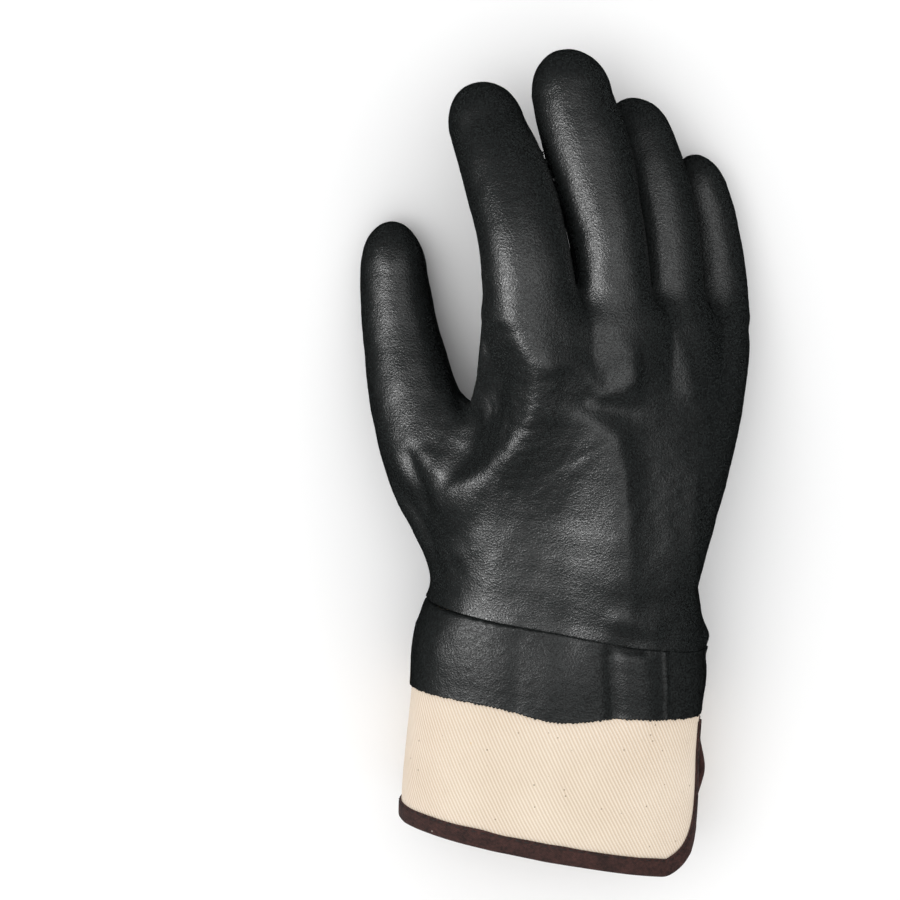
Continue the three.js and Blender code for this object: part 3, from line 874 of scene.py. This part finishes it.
def cloth_ripple(p, s):
    """Slow unevenness of the cuff cloth, and its slit edges standing a little open."""
    side = np.minimum(np.mod(s, GIRTH), GIRTH - np.mod(s, GIRTH))
    low = smooth(-p[..., 1], 78, 120)
    d = low * (0.30 * np.sin(s * 0.085 + p[..., 1] * 0.03) + 0.16 * np.sin(s * 0.21 - p[..., 1] * 0.05 + 1.0))
    flare = np.exp(-((side / 13.0) ** 2)) * smooth(-p[..., 1], 84, 126)
    lower = smooth(np.mod(s, GIRTH), GIRTH - 34.0, GIRTH - 3.0)
    wave = 2.4 * np.exp(-((p[..., 1] + 101.0) / 8.0) ** 2) + 1.2 * np.exp(-((p[..., 1] + 122.0) / 7.0) ** 2)
    return d + flare * (0.5 + 0.35 * np.sin(p[..., 1] * 0.17)) + lower * wave


def cuff_cloth(s, y, inset):
    """A point on the cuff: s round the section, y along it, inset from the glove's outside."""
    s, y, inset = np.broadcast_arrays(np.asarray(s, float), np.asarray(y, float), np.asarray(inset, float))
    th_ = theta_at(np.mod(s, GIRTH))
    p, q = cuff_point(th_, y, inset), cuff_point(th_, y, 0.0 * inset - 6.0)
    base = cuff_point(th_, y, 0.0 * inset)
    n = q - p
    n[..., 1] = 0
    n /= np.maximum(np.linalg.norm(n, axis=-1), 1e-9)[..., None]
    p = p + n * (cloth_ripple(base, s) + fold_below(base, n))[..., None]
    p[..., 2] = np.maximum(p[..., 2], inset)
    return p


_t = np.linspace(0, 60.0, 3000)
_dz = cuff_point(theta_at(_t), np.full(len(_t), -110.0), OUT)[:, 2] - SLIT_Z
_rise = np.append(True, _dz[1:] > np.maximum.accumulate(_dz)[:-1] + 1e-7)
DZ, S_OF_DZ = _dz[_rise], _t[_rise]


def slit_s(y, o):
    """Place round the section of the slit's upper edge, drawn in by o; the corner is an arc."""
    r, reach = CORNER_R - o, SLIT_HALF + CORNER_R
    arc_y = HEM_AT_SLIT + CORNER_R
    dz = np.where(y < arc_y, reach - np.sqrt(np.maximum(r * r - (arc_y - y) ** 2, 0)), SLIT_HALF + o)
    return np.interp(np.minimum(dz, DZ[-1]), DZ, S_OF_DZ)


def outline(o, step=0.5):
    """The free edge in (s, y): down the slit's upper side, round the corner, along the hem, back up."""
    side = []
    for y in np.arange(SLIT_TOP_Y - 0.4, -150, -0.1):
        s = float(slit_s(y, o))
        if y <= float(hem_y(cuff_point(theta_at(s), np.array(y), OUT)[0])) + o:
            break
        side.append((s, y))
    s0 = side[-1][0]
    s = np.arange(s0 + 0.2, GIRTH - s0 - 0.1, 0.2)
    th_ = theta_at(s)
    y = np.full(len(s), HEM_Y)
    for _ in range(5):
        y = hem_y(cuff_point(th_, y, OUT)[:, 0]) + o
    pts = np.array(side + list(zip(s, y)) + [(GIRTH - a, b) for a, b in side[::-1]])
    d = np.append(0, np.cumsum(np.linalg.norm(np.diff(pts, axis=0), axis=1)))
    t = np.linspace(0, d[-1], int(d[-1] / step))
    out = np.stack([np.interp(t, d, pts[:, 0]), np.interp(t, d, pts[:, 1])], 1)
    for _ in range(8):
        out[1:-1] = 0.25 * out[:-2] + 0.5 * out[1:-1] + 0.25 * out[2:]
    return out, t


EDGE, EDGE_T = outline(TAPE_IN)
# columns of the canvas: one down each side of the slit, then one for each step of the edge
first = int(np.argmax(EDGE[:, 1] < HEM_AT_SLIT + CORNER_R - 0.5))
mid_edge = EDGE[first:len(EDGE) - first]
mid_edge = mid_edge[np.append(True, np.diff(mid_edge[:, 0]) > 1e-4)]
s_slit = float(slit_s(SLIT_TOP_Y - 5.0, TAPE_IN))
S_COL = np.concatenate([[s_slit], mid_edge[:, 0], [GIRTH - s_slit]])
Y_COL = np.concatenate([[mid_edge[0, 1] + 0.4], mid_edge[:, 1], [mid_edge[-1, 1] + 0.4]])
EXTRA = np.linspace(GIRTH - s_slit, GIRTH + s_slit, 9)[1:-1]
M, E = len(S_COL), len(EXTRA)
SLIT_TOP = SLIT_TOP_Y - 0.4


def cuff_canvas():
    s_all = np.concatenate([S_COL, EXTRA])
    th_all = theta_at(np.mod(s_all, GIRTH))
    top = y_between(th_all, np.full(M + E, 0.22), seam_y, coat_y)
    verts, uv, ids = [], [], {}
    for side, inset in ((0, OUT), (1, IN)):
        for r, t in enumerate(np.linspace(0, 1, 14)):
            y = top + (SLIT_TOP - top) * t
            ids[side, r] = np.arange(M + E) + sum(len(v) for v in verts)
            verts.append(cuff_cloth(s_all, y, inset))
            uv.append(np.stack([s_all, y], 1))
        for r, t in enumerate(np.linspace(0, 1, 46)[1:]):
            y = SLIT_TOP + (Y_COL - SLIT_TOP) * t
            ids[side, 14 + r] = np.arange(M) + sum(len(v) for v in verts)
            verts.append(cuff_cloth(S_COL, y, inset))
            uv.append(np.stack([S_COL, y], 1))
    rows = 14 + 45
    faces = []
    for side in (0, 1):
        for r in range(rows - 1):
            a, b = ids[side, r], ids[side, r + 1]
            n = M + E if r < 13 else M - 1
            for j in range(n):
                k = (j + 1) % (M + E) if r < 13 else j + 1
                q = [a[j], a[k], b[k], b[j]]
                faces.append(q if side else q[::-1])
    for j in range(M + E):
        k = (j + 1) % (M + E)
        faces.append([ids[0, 0][j], ids[0, 0][k], ids[1, 0][k], ids[1, 0][j]])
    for j in range(M - 1, M + E):
        k = (j + 1) % (M + E)
        faces.append([ids[0, 13][j], ids[0, 13][k], ids[1, 13][k], ids[1, 13][j]])
    for j in range(M - 1):
        faces.append([ids[0, rows - 1][j], ids[0, rows - 1][j + 1], ids[1, rows - 1][j + 1], ids[1, rows - 1][j]])
    for r in range(13, rows - 1):
        for j in (0, M - 1):
            faces.append([ids[0, r][j], ids[0, r + 1][j], ids[1, r + 1][j], ids[1, r][j]])
    ob = new_piece("cuff_canvas", np.vstack(verts), faces, [CANVAS_MAT], "safety_cuff", uv=np.vstack(uv))
    fix_normals(ob)
    return ob


canvas = cuff_canvas()

# ------------------------------------------------------------------ binding tape
tan = np.gradient(EDGE, axis=0)
tan /= np.linalg.norm(tan, axis=1)[:, None]
INWARD = np.stack([-tan[:, 1], tan[:, 0]], 1)   # from the outline into the cloth


def tape_noise(t, seed, size):
    r = np.random.RandomState(seed)
    k = np.arange(0, EDGE_T[-1] + 2 * size, size)
    v = r.uniform(-1, 1, len(k))
    f_ = t / size
    i = np.clip(f_.astype(int), 0, len(k) - 2)
    w = f_ - i
    w = w * w * (3 - 2 * w)
    return v[i] * (1 - w) + v[i + 1] * w


# columns: depth from the canvas edge, inset; from the lip on the outside round to the lip inside
TAPE_RING = [
    (5.35, 1.16), (5.42, 0.95), (5.38, 0.78), (5.15, 0.66), (4.7, 0.66), (4.3, 0.52), (3.6, 0.44), (2.6, 0.42), (1.6, 0.42),
    (0.7, 0.45), (0.0, 0.60), (-0.48, 0.95), (-0.72, 1.45), (-0.78, 1.9), (-0.72, 2.35), (-0.48, 2.85), (0.0, 3.2),
    (0.7, 3.35), (1.6, 3.38), (2.6, 3.38), (3.6, 3.36), (4.3, 3.28), (4.7, 3.14), (5.15, 3.14), (5.38, 3.02), (5.42, 2.85),
    (5.35, 2.64), (2.6, 2.62), (0.35, 2.6), (0.15, 1.9), (0.35, 1.2), (2.6, 1.18)]


def binding_tape():
    n, m = len(EDGE), len(TAPE_RING)
    wide = 1 + 0.045 * tape_noise(EDGE_T, 5, 9.0)
    shift = 0.16 * tape_noise(EDGE_T, 6, 6.0)
    puff = 0.06 * tape_noise(EDGE_T, 8, 2.2)
    verts, uv = [], []
    for k, (w, q) in enumerate(TAPE_RING):
        outer = q < 0.9
        depth = w * (wide if w > 1 else 1.0) + (shift if w > 3 else 0.4 * shift if w < 0.3 else 0.0) * (0.0 if abs(q - 1.9) < 0.75 and w > 0 else 1.0)
        inset = q - (puff if outer else 0.0)
        sy = EDGE + INWARD * depth[:, None] if np.ndim(depth) else EDGE + INWARD * depth
        verts.append(cuff_cloth(sy[:, 0], sy[:, 1], inset))
        around = sum(math.hypot(TAPE_RING[j][0] - TAPE_RING[j - 1][0], TAPE_RING[j][1] - TAPE_RING[j - 1][1]) for j in range(1, k + 1))
        uv.append(np.stack([EDGE_T, np.full(n, around)], 1))
    verts = np.array(verts)          # m x n x 3
    faces = []
    for k in range(m):
        k2 = (k + 1) % m
        for i in range(n - 1):
            faces.append([k * n + i, k * n + i + 1, k2 * n + i + 1, k2 * n + i])
    faces.append([k * n for k in range(m)])
    faces.append([k * n + n - 1 for k in range(m)][::-1])
    ob = new_piece("binding_tape", verts.reshape(-1, 3), faces, [TAPE_MAT], "cuff_binding", uv=np.vstack(uv))
    fix_normals(ob)
    return ob


tape = binding_tape()


def binding_stitches():
    verts, faces = [], []
    side = 5
    for depth, inset, sign in ((4.72, 0.64, -1), (4.72, 3.16, 1)):
        for start in np.arange(0.6, EDGE_T[-1] - 2.6, 3.0):
            t = start + np.array([0.0, 0.35, 1.1, 1.85, 2.2])
            i = np.interp(t, EDGE_T, np.arange(len(EDGE_T)))
            base_ = np.stack([np.interp(i, np.arange(len(EDGE_T)), (EDGE + INWARD * depth)[:, k]) for k in (0, 1)], 1)
            inw = np.stack([np.interp(i, np.arange(len(EDGE_T)), INWARD[:, k]) for k in (0, 1)], 1)
            rad = np.array([0.02, 0.17, 0.2, 0.17, 0.02])
            lift = np.array([-0.1, 0.05, 0.12, 0.05, -0.1])
            b = len(verts)
            for j in range(5):
                for a in range(side):
                    an = 2 * math.pi * a / side
                    w, q = rad[j] * math.cos(an), rad[j] * math.sin(an)
                    sy = base_[j] + inw[j] * w
                    verts.append(cuff_cloth(sy[0], sy[1], inset + sign * (lift[j] + q)))
            for j in range(4):
                for a in range(side):
                    a2 = (a + 1) % side
                    faces.append([b + j * side + a, b + j * side + a2, b + (j + 1) * side + a2, b + (j + 1) * side + a])
            faces.append([b + a for a in range(side)][::-1])
            faces.append([b + 4 * side + a for a in range(side)])
    ob = new_piece("binding_stitches", np.array(verts), faces, [THREAD], "cuff_binding")
    fix_normals(ob)
    return ob


stitches = binding_stitches()

# ------------------------------------------------------------------ floor, light, camera
floor_mesh = bpy.data.meshes.new("floor")
floor_mesh.from_pydata([(-3, -3, -0.0002), (3, -3, -0.0002), (3, 3, -0.0002), (-3, 3, -0.0002)], [], [(0, 1, 2, 3)])
floor = bpy.data.objects.new("floor", floor_mesh)
bpy.context.scene.collection.objects.link(floor)
fm = Nodes("pale_floor")
fm.link(fm.ramp(fm.noise(fm.coords(), 3.0), [(0.3, (0.90, 0.90, 0.90)), (0.7, (0.915, 0.915, 0.915))]), fm.bsdf.inputs["Base Color"])
fm.bsdf.inputs["Roughness"].default_value = 0.9
floor_mesh.materials.append(fm.mat)
floor.visible_glossy = False


def area_light(name, loc, aim, size, size_y, watts):
    l = bpy.data.lights.new(name, "AREA")
    l.shape = "RECTANGLE"
    l.size, l.size_y, l.energy = size, size_y, watts
    o = bpy.data.objects.new(name, l)
    o.location = loc
    o.rotation_euler = (Vector(aim) - Vector(loc)).to_track_quat("-Z", "Y").to_euler()
    bpy.context.scene.collection.objects.link(o)
    return o


# the coating's highlights come from their own soft lights, the matt cloth and the floor from theirs
key = area_light("key", (-0.72, 0.05, 1.00), (0, 0, 0.02), 0.30, 0.70, 18.0)
key.visible_diffuse = False
top = area_light("top", (0.45, 0.15, 1.22), (0, 0, 0.02), 1.2, 0.9, 7.0)
top.visible_diffuse = False
side = area_light("side", (-0.45, 0.10, 1.15), (0, 0, 0.02), 0.8, 0.90, 3.0)
side.visible_glossy = False

world = bpy.data.worlds.new("studio")
bpy.context.scene.world = world
world.use_nodes = True
world.node_tree.nodes["Background"].inputs[0].default_value = (1, 1, 1, 1)
world.node_tree.nodes["Background"].inputs[1].default_value = 1.06
world.cycles_visibility.glossy = False
bpy.context.scene.view_settings.view_transform = "Standard"
bpy.context.scene.view_settings.look = "None"

TILT = math.radians(8.0)          # the photograph looks down, a little from the fingers' side
look = np.array([0.0, -math.sin(TILT), -math.cos(TILT)])
up = np.array([0.0, math.cos(TILT), -math.sin(TILT)])
aim = np.array([-34.5 - CENTRE[0], 4.3 + 2.2 - CENTRE[1], 25.0])
eye = aim - 1000.0 * look
cam_data = bpy.data.cameras.new("camera")
cam_data.sensor_width, cam_data.lens, cam_data.clip_end = 36.0, 121.2, 20.0
cam = bpy.data.objects.new("camera", cam_data)
rot = Matrix(((1, 0, 0), tuple(up), tuple(-look))).transposed()
cam.matrix_world = Matrix.Translation(Vector(eye) / 1000.0) @ rot.to_4x4()
bpy.context.scene.collection.objects.link(cam)
bpy.context.scene.camera = cam

for ob in (hand, band, canvas, tape, stitches):
    me = ob.data
    print("GEOM", ob.name, sum(len(p_.vertices) - 2 for p_ in me.polygons), "triangles")
